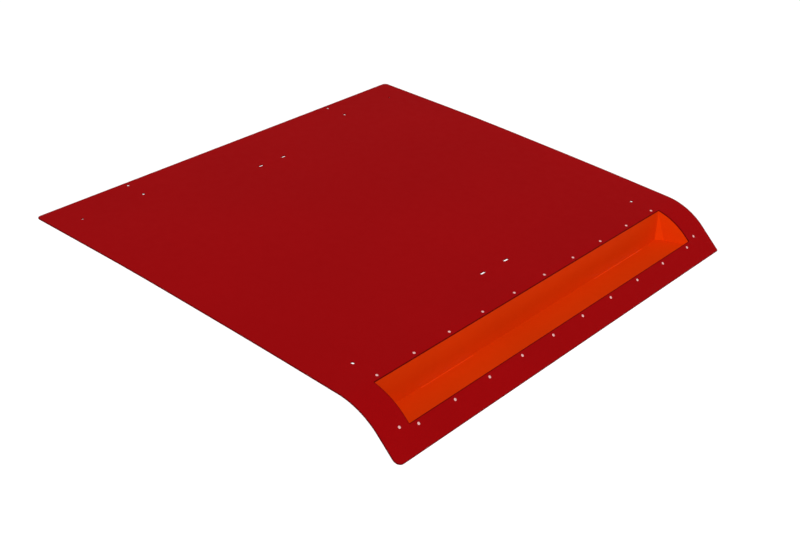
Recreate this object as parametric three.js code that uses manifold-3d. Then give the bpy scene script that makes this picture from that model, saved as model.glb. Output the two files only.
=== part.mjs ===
// Roof panel for an off-road side-by-side vehicle, with a pocket riveted into its rolled front edge
// for a light bar. Millimetres, +Z up, front toward -Y, width along X.
// The origin is on the underside of the level main panel, half way along it.
import * as THREE from "three";
import { mergeVertices } from "three/addons/utils/BufferGeometryUtils.js";
import Module from "manifold-3d";

// ---- Driving dimensions -----------------------------------------------------------------------

const panel = {
  width: 1232, // side to side
  thickness: 2.3, // aluminium sheet
  rearFlat: 232, // rear stretch, falling away to the back
  rearFall: 1.46, // its angle in degrees
  rearBend: 241, // length of the gentle rear bend
  mainFlat: 152, // level middle stretch
  frontBend: 234, // length of the gentle front bend
  frontFall: 0.74, // angle of the front stretch in degrees
  frontFlat: 115, // front stretch before the nose rolls down
  noseRadius: 171, // outer radius of the rolled nose
  noseTurn: 40.3, // how far the nose rolls, in degrees
  noseLip: 73, // straight lip below the roll
  rearCorner: 12, // corner radii
  frontCornerLeft: 19,
  frontCornerRight: 5,
};

const pocket = {
  width: 1068, // the cut-out in the roof
  pastRoll: 23.5, // from where the nose starts to roll down to the cut-out, along the sheet
  length: 110, // front to back, along the sheet
  depth: 78.4, // of the fold below the cut-out's rear edge
  wallLean: 7.4, // of the rear wall, in degrees from upright
  frontWall: 16.1, // height of the low front wall, square to the sheet
  thickness: 2,
  reveal: 1, // how far the tray's walls stand back behind the cut-out's edge
  flangeMargin: 14, // of every flange and tab beyond its row of rivets
  gussetAlongFold: 12, // the slanted corner gusset, at its foot
  gussetAlongEnd: 21,
  gussetThickness: 1.6,
};

// Drain slits in the floor beside the fold, each set in from its own end of the cut-out
const slit = {
  width: 1.6,
  fromFold: 2.2,
  left: { fromEnd: 139, length: 174 },
  right: { fromEnd: 76, length: 214 },
};

const rivet = {
  count: 10, // in each long row
  endInset: 19.65, // of a row's last rivet from the cut-out's end
  fromRearEdge: 11.1, // of the rear row from the cut-out
  fromFrontEdge: 10.2, // of the front row from the cut-out
  fromEnd: 27, // of the single rivet beside each end of the cut-out
  behindFrontEdge: 4.2, // of that single rivet, back from the cut-out's front edge
  headRadius: 3.2,
  headHeight: 1.1,
  shankRadius: 1.6,
  boreRadius: 0.95,
  bulbRadius: 2.3,
  bulbLength: 3,
};

const pin = { radius: 0.65, sink: 0.4, headRadius: 1.25, headLength: 1.6 };

// Mounting holes and slots, in pairs left and right of the middle, along the sheet from the rear edge
// or back from the cut-out. A corner hole is set in from the panel's side.
const bolt = {
  radius: 3.5,
  frontX: 519.2,
  frontBehindPocket: 72.5,
  rearX: 355.6,
  rearRow: 14.7,
  secondX: 358.6,
  secondRow: 77.3,
  cornerInset: 72.6,
  cornerRow: 80.4,
  cornerRadius: 2.4,
};
const centreSlot = {
  width: 5,
  frontX: 43.3,
  frontBehindPocket: 111.6,
  frontLength: 16,
  rearX: 40.1,
  rearRow: 157.6,
  rearLength: 14,
};

// Named clearances
const sheetGap = 0.3; // between the roof sheet and what is riveted under it
const rivetGap = 0.3; // round a rivet's shank and under its head
const pinGap = rivet.boreRadius - pin.radius;
const endGap = 0.3; // between the tray and its end plates
const fitGap = 0.3; // between the gusset and the tray
const overcut = 20; // how far a cutter runs past the sheet

const rivetFacets = 12;
const pinFacets = 8;
const holeFacets = 20;
const rad = THREE.MathUtils.degToRad;

// ---- The sheet's side profile -------------------------------------------------------------------

// Each stretch has a length and a turn; a bend is a run of short equal chords.
const stretches = [
  { length: panel.rearFlat, turn: 0, chords: 1 },
  { length: panel.rearBend, turn: panel.rearFall, chords: 3 },
  { length: panel.mainFlat, turn: 0, chords: 1 },
  { length: panel.frontBend, turn: panel.frontFall, chords: 3 },
  { length: panel.frontFlat, turn: 0, chords: 1 },
  { length: rad(panel.noseTurn) * panel.noseRadius, turn: panel.noseTurn, chords: 16 },
  { length: panel.noseLip, turn: 0, chords: 1 },
];

// Stations along the top face, from the rear edge: distance, point and heading below level.
function walkProfile() {
  const stations = [];
  let heading = -rad(panel.rearFall);
  let row = 0;
  let y = 0;
  let z = 0;
  for (const stretch of stretches) {
    const step = stretch.length / stretch.chords;
    const turn = rad(stretch.turn) / stretch.chords;
    for (let i = 0; i < stretch.chords; i++) {
      const along = heading + turn / 2;
      stations.push({ row, y, z, along });
      row += step;
      y -= step * Math.cos(along);
      z -= step * Math.sin(along);
      heading += turn;
    }
  }
  stations.push({ row, y, z, along: heading });
  return stations;
}

const profile = walkProfile();
const panelLength = profile[profile.length - 1].row;
const mainMiddle = panel.rearFlat + panel.rearBend + panel.mainFlat / 2;
const rollStart = mainMiddle + panel.mainFlat / 2 + panel.frontBend + panel.frontFlat;
const pocketStart = rollStart + pocket.pastRoll;
const pocketEnd = pocketStart + pocket.length;

const boltHoles = [
  { x: bolt.frontX, row: pocketStart - bolt.frontBehindPocket, radius: bolt.radius },
  { x: bolt.rearX, row: bolt.rearRow, radius: bolt.radius },
  { x: bolt.secondX, row: bolt.secondRow, radius: bolt.radius },
  { x: panel.width / 2 - bolt.cornerInset, row: bolt.cornerRow, radius: bolt.cornerRadius },
];
const boltSlots = [
  {
    x: centreSlot.frontX,
    row: pocketStart - centreSlot.frontBehindPocket,
    length: centreSlot.frontLength,
  },
  { x: centreSlot.rearX, row: centreSlot.rearRow, length: centreSlot.rearLength },
];

// The chord that holds a row, and the point on the top face there, still measured from the rear edge.
function chordAt(row) {
  let i = profile.length - 2;
  while (i > 0 && profile[i].row > row) i--;
  return profile[i];
}

function rawPoint(row) {
  const chord = chordAt(row);
  const run = row - chord.row;
  return {
    y: chord.y - run * Math.cos(chord.along),
    z: chord.z - run * Math.sin(chord.along),
    along: chord.along,
  };
}

const datum = rawPoint(mainMiddle);

// A point at a depth below the top face, measured square to the chord it lies on.
function onSheet(row, depth = 0) {
  const p = rawPoint(row);
  return new THREE.Vector2(
    p.y - datum.y + depth * Math.sin(p.along),
    p.z - datum.z + panel.thickness - depth * Math.cos(p.along),
  );
}

// A run of points parallel to the top face from one row to another, mitred where the chords meet.
function parallelRun(from, to, depth) {
  const points = [onSheet(from, depth)];
  for (let i = 1; i < profile.length - 1; i++) {
    const station = profile[i];
    if (station.row <= from + 0.5 || station.row >= to - 0.5) continue;
    const half = (station.along - profile[i - 1].along) / 2;
    const middle = station.along - half;
    const reach = depth / Math.cos(half);
    points.push(
      new THREE.Vector2(
        station.y - datum.y + reach * Math.sin(middle),
        station.z - datum.z + panel.thickness - reach * Math.cos(middle),
      ),
    );
  }
  points.push(onSheet(to, depth));
  return points;
}

// ---- Solids ---------------------------------------------------------------------------------------

const wasm = await Module();
wasm.setup();

function solidOf(geometry) {
  const plain = geometry.index ? geometry.toNonIndexed() : geometry;
  const bare = new THREE.BufferGeometry();
  bare.setAttribute("position", plain.getAttribute("position"));
  const merged = mergeVertices(bare, 1e-4);
  return new wasm.Manifold(
    new wasm.Mesh({
      numProp: 3,
      vertProperties: new Float32Array(merged.attributes.position.array),
      triVerts: new Uint32Array(merged.index.array),
    }),
  );
}

function geometryOf(solid) {
  const mesh = solid.getMesh();
  const geometry = new THREE.BufferGeometry();
  geometry.setAttribute("position", new THREE.BufferAttribute(mesh.vertProperties, 3));
  geometry.setIndex(new THREE.BufferAttribute(mesh.triVerts, 1));
  return geometry;
}

// A closed outline in the YZ plane, drawn out along X between two positions.
function alongX(outline, fromX, toX) {
  const shape = new THREE.Shape(outline);
  const geometry = new THREE.ExtrudeGeometry(shape, {
    depth: toX - fromX,
    bevelEnabled: false,
    curveSegments: 1,
  });
  const basis = new THREE.Matrix4().makeBasis(
    new THREE.Vector3(0, 1, 0),
    new THREE.Vector3(0, 0, 1),
    new THREE.Vector3(1, 0, 0),
  );
  geometry.applyMatrix4(basis);
  geometry.translate(fromX, 0, 0);
  return solidOf(geometry);
}

// Moves a geometry built about +Z so that +Z stands square out of the sheet at a place on its top face.
function placeOnSheet(geometry, x, row) {
  const p = onSheet(row);
  const { along } = rawPoint(row);
  const matrix = new THREE.Matrix4().makeRotationX(along);
  matrix.setPosition(x, p.x, p.y);
  return geometry.applyMatrix4(matrix);
}

function slotShape(length, width) {
  const r = width / 2;
  const straight = length / 2 - r;
  const shape = new THREE.Shape();
  shape.moveTo(-straight, -r);
  shape.lineTo(straight, -r);
  shape.absarc(straight, 0, r, -Math.PI / 2, Math.PI / 2, false);
  shape.lineTo(-straight, r);
  shape.absarc(-straight, 0, r, Math.PI / 2, 1.5 * Math.PI, false);
  return shape;
}

function holeCutter(x, row, radius, facets = holeFacets) {
  const geometry = new THREE.CylinderGeometry(radius, radius, 2 * overcut, facets);
  geometry.rotateX(Math.PI / 2);
  return solidOf(placeOnSheet(geometry, x, row));
}

function slotCutter(x, row, length, width) {
  const geometry = new THREE.ExtrudeGeometry(slotShape(length, width), {
    depth: 2 * overcut,
    bevelEnabled: false,
    curveSegments: 6,
  });
  geometry.translate(0, 0, -overcut);
  return solidOf(placeOnSheet(geometry, x, row));
}

// What lies outside a rounded corner: a square block less a quarter circle.
function cornerCutter(side, end, radius) {
  const block = 2 * radius;
  const shape = new THREE.Shape();
  const steps = 8;
  shape.moveTo(block, block);
  shape.lineTo(-radius, block);
  shape.lineTo(-radius, 0);
  for (let i = 1; i < steps; i++) {
    const a = Math.PI / 2 - (i / steps) * (Math.PI / 2);
    shape.lineTo(-radius + radius * Math.cos(a), -radius + radius * Math.sin(a));
  }
  shape.lineTo(0, -radius);
  shape.lineTo(block, -radius);
  shape.closePath();
  const geometry = new THREE.ExtrudeGeometry(shape, {
    depth: 2 * overcut,
    bevelEnabled: false,
  });
  geometry.translate(0, 0, -overcut);
  const rearTurn = side > 0 ? 0 : Math.PI / 2;
  const frontTurn = side > 0 ? -Math.PI / 2 : Math.PI;
  geometry.rotateZ(end === "rear" ? rearTurn : frontTurn);
  const row = end === "rear" ? 0 : panelLength;
  return solidOf(placeOnSheet(geometry, (side * panel.width) / 2, row));
}

const sides = [
  { side: -1, name: "left" },
  { side: 1, name: "right" },
];

// ---- Rivet places ------------------------------------------------------------------------------------

const rearRow = pocketStart - rivet.fromRearEdge;
const frontRow = pocketEnd + rivet.fromFrontEdge;
const endRow = pocketEnd - rivet.behindFrontEdge;
const endX = pocket.width / 2 + rivet.fromEnd;
const pitch = (pocket.width - 2 * rivet.endInset) / (rivet.count - 1);

const rivetPlaces = [];
for (let i = 0; i < rivet.count; i++) {
  const x = (i - (rivet.count - 1) / 2) * pitch;
  const number = String(i + 1).padStart(2, "0");
  rivetPlaces.push({ name: `rear_${number}`, x, row: rearRow });
  rivetPlaces.push({ name: `front_${number}`, x, row: frontRow });
}
for (const { side, name } of sides) {
  rivetPlaces.push({ name: `end_${name}`, x: side * endX, row: endRow });
}

// ---- The tray's section ------------------------------------------------------------------------------

const underSheet = panel.thickness + sheetGap;
const wallTopRow = pocketStart - pocket.reveal;
const frontTopRow = pocketEnd + pocket.reveal;

// Inner face: rear flange, rear wall down to the fold, floor, front wall, front flange.
const wallTop = onSheet(wallTopRow, underSheet);
const cutEdge = onSheet(pocketStart);
const fold = new THREE.Vector2(
  wallTop.x - (pocket.depth - (cutEdge.y - wallTop.y)) * Math.tan(rad(pocket.wallLean)),
  cutEdge.y - pocket.depth,
);
const frontTop = onSheet(frontTopRow, underSheet);
const floorFront = onSheet(frontTopRow, underSheet + pocket.frontWall);
const floorRise = Math.atan2(floorFront.y - fold.y, fold.x - floorFront.x);
const rearFlangeRun = parallelRun(rearRow - pocket.flangeMargin, wallTopRow, underSheet);
const frontFlangeRun = parallelRun(frontTopRow, frontRow + pocket.flangeMargin, underSheet);
const innerFace = [...rearFlangeRun, fold, floorFront, ...frontFlangeRun];

// The same line moved square to itself by a distance, with mitred corners; positive is outward.
function offsetLine(points, distance) {
  const normals = [];
  for (let i = 0; i < points.length - 1; i++) {
    const d = points[i + 1].clone().sub(points[i]).normalize();
    normals.push(new THREE.Vector2(-d.y, d.x));
  }
  return points.map((p, i) => {
    const a = normals[Math.max(i - 1, 0)];
    const b = normals[Math.min(i, normals.length - 1)];
    const mitre = a.clone().add(b).normalize();
    return p.clone().addScaledVector(mitre, distance / mitre.dot(a));
  });
}

const outerFace = offsetLine(innerFace, pocket.thickness);
const wallCorner = rearFlangeRun.length; // index of the fold in both faces
const trayHalf = pocket.width / 2 + pocket.reveal - endGap;
const endInner = pocket.width / 2 + pocket.reveal;
const endOuter = endInner + pocket.thickness;

// ---- Pieces -------------------------------------------------------------------------------------------

function makeRoofPanel() {
  const half = panel.width / 2;
  const top = parallelRun(0, panelLength, 0);
  const under = parallelRun(0, panelLength, panel.thickness).reverse();
  let solid = alongX([...top, ...under], -half, half);

  const above = -overcut;
  const cutOut = [
    onSheet(pocketStart, above),
    onSheet(pocketEnd, above),
    onSheet(pocketEnd, overcut),
    onSheet(pocketStart, overcut),
  ];
  solid = solid.subtract(alongX(cutOut, -pocket.width / 2, pocket.width / 2));

  for (const { side } of sides) {
    for (const hole of boltHoles) {
      solid = solid.subtract(holeCutter(side * hole.x, hole.row, hole.radius));
    }
    for (const slot of boltSlots) {
      solid = solid.subtract(slotCutter(side * slot.x, slot.row, slot.length, centreSlot.width));
    }
    solid = solid.subtract(cornerCutter(side, "rear", panel.rearCorner));
    const frontCorner = side < 0 ? panel.frontCornerLeft : panel.frontCornerRight;
    solid = solid.subtract(cornerCutter(side, "front", frontCorner));
  }
  return geometryOf(drillForRivets(solid, () => true));
}

function drillForRivets(solid, wanted) {
  const radius = rivet.shankRadius + rivetGap;
  let drilled = solid;
  for (const place of rivetPlaces.filter(wanted)) {
    drilled = drilled.subtract(holeCutter(place.x, place.row, radius, rivetFacets));
  }
  return drilled;
}

function makeTray() {
  const outline = [...innerFace, ...outerFace.slice().reverse()];
  let solid = alongX(outline, -trayHalf, trayHalf);
  for (const { side, name } of sides) {
    const geometry = new THREE.ExtrudeGeometry(slotShape(slit[name].length, slit.width), {
      depth: 2 * pocket.thickness + 2,
      bevelEnabled: false,
      curveSegments: 4,
    });
    geometry.translate(0, -slit.fromFold, -pocket.thickness - 2);
    const matrix = new THREE.Matrix4().makeRotationX(-floorRise);
    const centre = pocket.width / 2 - slit[name].fromEnd - slit[name].length / 2;
    matrix.setPosition(side * centre, fold.x, fold.y);
    solid = solid.subtract(solidOf(geometry.applyMatrix4(matrix)));
  }
  return geometryOf(drillForRivets(solid, (place) => !place.name.startsWith("end")));
}

// The slanted corner gusset: a thin triangle from the cut-out's rear corner down to the floor.
function makeGusset(side) {
  const x = (distance) => side * (endInner - distance);
  const rise = Math.tan(floorRise);
  const apex = new THREE.Vector3(x(-1), wallTop.x, wallTop.y);
  const atFold = new THREE.Vector3(x(pocket.gussetAlongFold), fold.x, fold.y);
  const atEnd = new THREE.Vector3(
    x(-1),
    fold.x - pocket.gussetAlongEnd,
    fold.y + pocket.gussetAlongEnd * rise,
  );
  const triangle = side > 0 ? [apex, atFold, atEnd] : [apex, atEnd, atFold];
  const normal = new THREE.Vector3().crossVectors(
    triangle[1].clone().sub(triangle[0]),
    triangle[2].clone().sub(triangle[0]),
  );
  normal.normalize();
  const face = triangle.map((p) => p.clone());
  const back = triangle.map((p) => p.clone().addScaledVector(normal, -pocket.gussetThickness));
  const corners = [...face, ...back];
  const order = [0, 1, 2, 3, 5, 4, 0, 3, 4, 0, 4, 1, 1, 4, 5, 1, 5, 2, 2, 5, 3, 2, 3, 0];
  const geometry = new THREE.BufferGeometry();
  geometry.setAttribute(
    "position",
    new THREE.BufferAttribute(new Float32Array(order.flatMap((i) => corners[i].toArray())), 3),
  );
  const inside = offsetLine([wallTop, fold, floorFront, frontTop], -fitGap);
  const reach = [Math.min(x(-1.5), x(40)), Math.max(x(-1.5), x(40))];
  return solidOf(geometry).intersect(alongX(inside, reach[0], reach[1]));
}

function makeEndPlate(side) {
  const low = Math.min(side * endInner, side * endOuter);
  const edge = parallelRun(wallTopRow - pocket.thickness, frontTopRow + pocket.thickness, underSheet);
  const outline = [...edge, outerFace[wallCorner + 1], outerFace[wallCorner]];
  let solid = alongX(outline, low, low + pocket.thickness);

  const tabEnd = endRow + pocket.flangeMargin;
  const tabTop = parallelRun(wallTopRow, tabEnd, underSheet);
  const tabUnder = parallelRun(wallTopRow, tabEnd, underSheet + pocket.thickness).reverse();
  const tabReach = endX + pocket.flangeMargin - endInner;
  const tabLow = Math.min(side * endInner, side * (endInner + tabReach));
  solid = solid.add(alongX([...tabTop, ...tabUnder], tabLow, tabLow + tabReach));
  solid = solid.add(makeGusset(side));
  const own = side > 0 ? "end_right" : "end_left";
  return geometryOf(drillForRivets(solid, (place) => place.name === own));
}

const stackDepth = panel.thickness + sheetGap + pocket.thickness;

// A set blind rivet: domed head, hollow shank and the bulb that the pin pulled up behind the sheets.
function makeRivet() {
  const r = rivet;
  const under = rivetGap;
  const bulbTop = -stackDepth - rivetGap;
  const points = [
    [r.boreRadius, bulbTop - r.bulbLength],
    [r.bulbRadius, bulbTop - r.bulbLength / 2],
    [r.shankRadius, bulbTop],
    [r.shankRadius, under],
    [r.headRadius, under],
    [r.headRadius * 0.75, under + r.headHeight * 0.75],
    [r.boreRadius, under + r.headHeight],
    [r.boreRadius, bulbTop - r.bulbLength],
  ];
  const geometry = new THREE.LatheGeometry(
    points.map(([x, y]) => new THREE.Vector2(x, y)),
    rivetFacets,
  );
  return geometry.rotateX(Math.PI / 2);
}

// The steel pin that stays in the rivet, with the head that holds the bulb out.
function makePin() {
  const top = rivetGap + rivet.headHeight - pin.sink;
  const bottom = -stackDepth - rivetGap - rivet.bulbLength - pinGap;
  const points = [
    [0, bottom - pin.headLength],
    [pin.headRadius, bottom - pin.headLength / 2],
    [pin.headRadius, bottom],
    [pin.radius, bottom],
    [pin.radius, top],
    [0, top],
  ];
  const geometry = new THREE.LatheGeometry(
    points.map(([x, y]) => new THREE.Vector2(x, y)),
    pinFacets,
  );
  return geometry.rotateX(Math.PI / 2);
}

// ---- Materials and assembly ------------------------------------------------------------------------

const redPaint = new THREE.MeshStandardMaterial({ color: 0x951013, roughness: 0.45, metalness: 0 });
const orangePaint = new THREE.MeshStandardMaterial({ color: 0xc83003, roughness: 0.45, metalness: 0 });
const aluminium = new THREE.MeshStandardMaterial({ color: 0xd8d4d2, roughness: 0.4, metalness: 0.9 });
const steel = new THREE.MeshStandardMaterial({ color: 0x9a9a9c, roughness: 0.35, metalness: 0.9 });

const roof = new THREE.Group();
roof.name = "roof_panel_with_light_bar_pocket";

function addPiece(name, geometry, material) {
  const mesh = new THREE.Mesh(geometry, material);
  mesh.name = name;
  roof.add(mesh);
}

addPiece("roof_panel", makeRoofPanel(), redPaint);
addPiece("pocket_tray", makeTray(), orangePaint);
for (const { side, name } of sides) {
  addPiece(`pocket_end_${name}`, makeEndPlate(side), orangePaint);
}
for (const place of rivetPlaces) {
  addPiece(`rivet_${place.name}`, placeOnSheet(makeRivet(), place.x, place.row), aluminium);
  addPiece(`pin_${place.name}`, placeOnSheet(makePin(), place.x, place.row), steel);
}

export default roof;
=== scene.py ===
import math

import bmesh
import bpy
from bpy.props import FloatProperty, FloatVectorProperty, IntProperty, PointerProperty
from mathutils import Matrix, Vector
from mathutils.geometry import delaunay_2d_cdt


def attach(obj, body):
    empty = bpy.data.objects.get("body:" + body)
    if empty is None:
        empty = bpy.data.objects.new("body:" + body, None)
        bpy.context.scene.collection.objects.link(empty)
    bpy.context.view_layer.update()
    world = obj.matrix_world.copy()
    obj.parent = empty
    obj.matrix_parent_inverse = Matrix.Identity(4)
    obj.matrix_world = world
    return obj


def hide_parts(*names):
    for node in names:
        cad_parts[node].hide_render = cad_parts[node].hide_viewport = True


bl_info = {
    "name": "Off-road Roof Panel",
    "version": (1, 0, 0),
    "blender": (4, 5, 0),
    "location": "3D View > Sidebar > Roof Panel",
    "description": "Builds a folded sheet roof panel with a riveted light bar pocket",
    "category": "Object",
}

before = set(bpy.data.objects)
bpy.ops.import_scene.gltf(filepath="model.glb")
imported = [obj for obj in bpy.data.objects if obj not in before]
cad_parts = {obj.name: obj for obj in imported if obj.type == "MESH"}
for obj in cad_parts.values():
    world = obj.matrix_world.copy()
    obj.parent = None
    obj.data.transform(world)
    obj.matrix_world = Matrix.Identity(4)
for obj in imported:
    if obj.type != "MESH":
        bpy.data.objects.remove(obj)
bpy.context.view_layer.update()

MM = 0.001
SIDES = (-1.0, 1.0)

GRID_STEP = 22 * MM  # spacing of the points laid over a flat sheet
TRAY_GRID_STEP = 20 * MM
CUT_CORNER = 0.8 * MM  # corner radius of a laser-cut opening
TRAY_CORNER = 3 * MM
TRAY_EDGE_RADIUS = 0.3 * MM
ROOF_CLEAR, TRAY_CLEAR = 1.0 * MM, 0.25 * MM  # grid points keep this far from an edge
RIVET_SEGMENTS, PIN_SEGMENTS = 32, 20

FLOOR_DROP = 1.95  # the panel is carried at roof height
FLOOR_HALF = 300.0
AIR_STRENGTH = 0.18
LAMP_DISTANCE = 4.0
# name, where it shines from, strength on a white surface, angular size, casts shadows
LIGHTS = (
    ("overhead_softbox", (0.0, 0.0, 1.0), 0.16, 60.0, True),
    ("front_fill", (0.0, -0.906, 0.423), 0.65, 30.0, False),
    ("rear_fill", (0.0, 0.707, 0.707), 0.55, 30.0, False),
    ("side_fill", (-0.996, 0.0, 0.087), 0.84, 20.0, False),
)
WHITE = (1.0, 1.0, 1.0, 1.0)
CAMERA_LENS, CAMERA_SENSOR = 60.336, 36.0
CAMERA_NEAR, CAMERA_FAR = 0.05, 500.0
CAMERA_AZIMUTH, CAMERA_ELEVATION, CAMERA_ROLL = -51.0175, 30.6072, 4.3332
CAMERA_PLACE = (-2.2001, -1.8398, 1.5503)


# ---- Sizes and colours a user would change -------------------------------------------------------


def length(name, default, description):
    return FloatProperty(
        name=name, description=description, default=default * MM, unit="LENGTH", precision=5
    )


def angle(name, default, description):
    return FloatProperty(
        name=name,
        description=description,
        default=math.radians(default),
        subtype="ANGLE",
        unit="ROTATION",
    )


def colour(name, default, description):
    return FloatVectorProperty(
        name=name, description=description, default=default, subtype="COLOR", size=3, min=0, max=1
    )


class RoofSheetSizes(bpy.types.PropertyGroup):
    width: length("Width", 1232, "Side to side")
    thickness: length("Thickness", 2.3, "Gauge of the sheet")
    rear_flat: length("Rear Flat", 232, "Rear stretch that falls away to the back")
    rear_fall: angle("Rear Fall", 1.46, "Angle of the rear stretch")
    rear_bend: length("Rear Bend", 241, "Length of the gentle rear bend")
    main_flat: length("Main Flat", 152, "Level stretch in the middle")
    front_bend: length("Front Bend", 234, "Length of the gentle front bend")
    front_fall: angle("Front Fall", 0.74, "Angle of the front stretch")
    front_flat: length("Front Flat", 115, "Front stretch before the nose rolls down")
    nose_radius: length("Nose Radius", 171, "Outer radius of the rolled nose")
    nose_turn: angle("Nose Turn", 40.3, "How far the nose rolls down")
    nose_lip: length("Nose Lip", 73, "Straight lip below the roll")
    rear_corner: length("Rear Corner", 12, "Corner radius at the back")
    left_corner: length("Front Left Corner", 19, "Corner radius at the front left")
    right_corner: length("Front Right Corner", 5, "Corner radius at the front right")
    edge_radius: length("Edge Radius", 0.55, "How far the coated edge is rounded")
    # On the red sheet this band is painted shade: the finish darkens it into a dark line along the
    # outline and the cut-out.
    edge_band: length("Edge Band", 1.8, "Width of the darker coat along the edges")


class PocketSizes(bpy.types.PropertyGroup):
    width: length("Width", 1068, "Width of the cut-out in the roof")
    past_roll: length("Past Roll", 23.5, "From where the nose starts to roll to the cut-out")
    length: length("Length", 110, "Front to back, along the sheet")
    depth: length("Depth", 78.4, "Of the fold below the cut-out's rear edge")
    wall_lean: angle("Wall Lean", 7.4, "Lean of the rear wall")
    front_wall: length("Front Wall", 16.1, "Height of the low front wall, square to the sheet")
    thickness: length("Thickness", 2, "Gauge of the tray")
    reveal: length("Reveal", 1, "How far the walls stand back behind the cut-out's edge")
    flange_margin: length("Flange Margin", 14, "Of each flange beyond its rivets")
    fold_radius: length("Fold Radius", 0.9, "Inner radius of the tray's folds")
    slit_width: length("Slit Width", 1.6, "Both drain slits beside the fold")
    left_slit: length("Left Slit", 174, "Length of the left drain slit")
    left_slit_inset: length("Left Slit Inset", 139, "Left slit from the cut-out's end")
    right_slit: length("Right Slit", 214, "Length of the right drain slit")
    right_slit_inset: length("Right Slit Inset", 76, "Right slit from the cut-out's end")
    slit_from_fold: length("Slit From Fold", 2.2, "Centre line of the slit past the fold")
    gap: length("Gap", 0.3, "Clearance to the roof sheet and the end plates")


class MountingHoleSizes(bpy.types.PropertyGroup):
    bolt_radius: length("Bolt Radius", 3.5, "Radius of the bolt holes")
    front_x: length("Front Bolt X", 519.2, "Front bolts from the centre line")
    front_row: length("Front Bolt Row", 72.5, "Front bolts behind the cut-out")
    rear_x: length("Rear Bolt X", 355.6, "Rear bolts from the centre line")
    rear_row: length("Rear Bolt Row", 14.7, "Rear bolts from the rear edge")
    second_x: length("Second Bolt X", 358.6, "Second bolts from the centre line")
    second_row: length("Second Bolt Row", 77.3, "Second bolts from the rear edge")
    corner_radius: length("Corner Hole Radius", 2.4, "Radius of the small corner holes")
    corner_inset: length("Corner Hole Inset", 72.6, "Corner holes from the side edge")
    corner_row: length("Corner Hole Row", 80.4, "Corner holes from the rear edge")
    slot_width: length("Slot Width", 5, "Width of the centre slots")
    front_slot_x: length("Front Slot X", 43.3, "Front slots from the centre line")
    front_slot_row: length("Front Slot Row", 111.6, "Front slots behind the cut-out")
    front_slot: length("Front Slot Length", 16, "Length of the front slots")
    rear_slot_x: length("Rear Slot X", 40.1, "Rear slots from the centre line")
    rear_slot_row: length("Rear Slot Row", 157.6, "Rear slots from the rear edge")
    rear_slot: length("Rear Slot Length", 14, "Length of the rear slots")


class RivetSizes(bpy.types.PropertyGroup):
    count: IntProperty(name="Count", description="Rivets in each long row", default=10, min=2)
    end_inset: length("End Inset", 19.65, "Last rivet of a row from the cut-out's end")
    from_rear_edge: length("From Rear Edge", 11.1, "Rear row behind the cut-out")
    from_front_edge: length("From Front Edge", 10.2, "Front row ahead of the cut-out")
    from_end: length("From End", 27, "Single rivet beside each end of the cut-out")
    behind_front_edge: length("Behind Front Edge", 4.2, "Single rivet back from the front edge")
    head_radius: length("Head Radius", 3.2, "Radius of the domed head")
    head_height: length("Head Height", 1.1, "Height of the domed head")
    shank_radius: length("Shank Radius", 1.6, "Radius of the shank")
    bore_radius: length("Bore Radius", 0.95, "Radius of the hole for the pin")
    bulb_radius: length("Bulb Radius", 2.3, "Radius of the blind side")
    bulb_length: length("Bulb Length", 3, "Length of the blind side")
    gap: length("Gap", 0.3, "Clearance round the shank and under the head")
    pin_radius: length("Pin Radius", 0.65, "Radius of the broken pin")
    pin_sink: length("Pin Sink", 0.4, "How far the pin lies below the rivet's crown")
    pin_head_radius: length("Pin Head Radius", 1.25, "Radius of the pin's blind head")
    pin_head_length: length("Pin Head Length", 1.6, "Length of the pin's blind head")


class FinishColours(bpy.types.PropertyGroup):
    red: colour("Roof Red", (0.282, 0.0019, 0.0029), "Powder coat of the roof sheet")
    orange: colour("Pocket Orange", (0.525, 0.0290, 0.0006), "Powder coat of the light bar pocket")
    # The pink tint of the rivet colour is a painted reflection of the red sheet round the rivets.
    rivet: colour("Rivet Aluminium", (0.97, 0.56, 0.54), "Aluminium warmed by the red round it")
    pin: colour("Pin Steel", (0.62, 0.61, 0.60), "Steel pins left in the rivets")
    floor: colour("Studio Floor", (0.98, 0.98, 0.98), "Plain floor under the panel")


# ---- Side profiles, walked by developed length --------------------------------------------------


class SideProfile:
    """A line in the YZ plane with a position and an upward normal at every developed length."""

    def __init__(self, lengths, points, normals):
        self.lengths, self.points, self.normals = lengths, points, normals

    @property
    def total(self):
        return self.lengths[-1]

    def place(self, u):
        """(point, normal) at a developed length, carried on straight past either end."""
        lo, hi = 0, len(self.lengths) - 1
        while hi - lo > 1:
            mid = (lo + hi) // 2
            if self.lengths[mid] <= u:
                lo = mid
            else:
                hi = mid
        span = self.lengths[hi] - self.lengths[lo]
        t = (u - self.lengths[lo]) / span
        point = self.points[lo].lerp(self.points[hi], t)
        normal = self.normals[lo].lerp(self.normals[hi], min(max(t, 0), 1)).normalized()
        return point, normal

    def solid(self, x, u, depth):
        """A point in the part's frame, at a depth below the line."""
        point, normal = self.place(u)
        spot = point - normal * depth
        return Vector((x, spot.x, spot.y))

    def nearest(self, target):
        """The developed length closest to a point in the YZ plane."""
        best = min(range(len(self.points)), key=lambda i: (self.points[i] - target).length)
        low = self.lengths[max(best - 1, 0)]
        high = self.lengths[min(best + 1, len(self.lengths) - 1)]
        steps = 200
        tries = [low + (high - low) * i / steps for i in range(steps + 1)]
        return min(tries, key=lambda u: (self.place(u)[0] - target).length)


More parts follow.
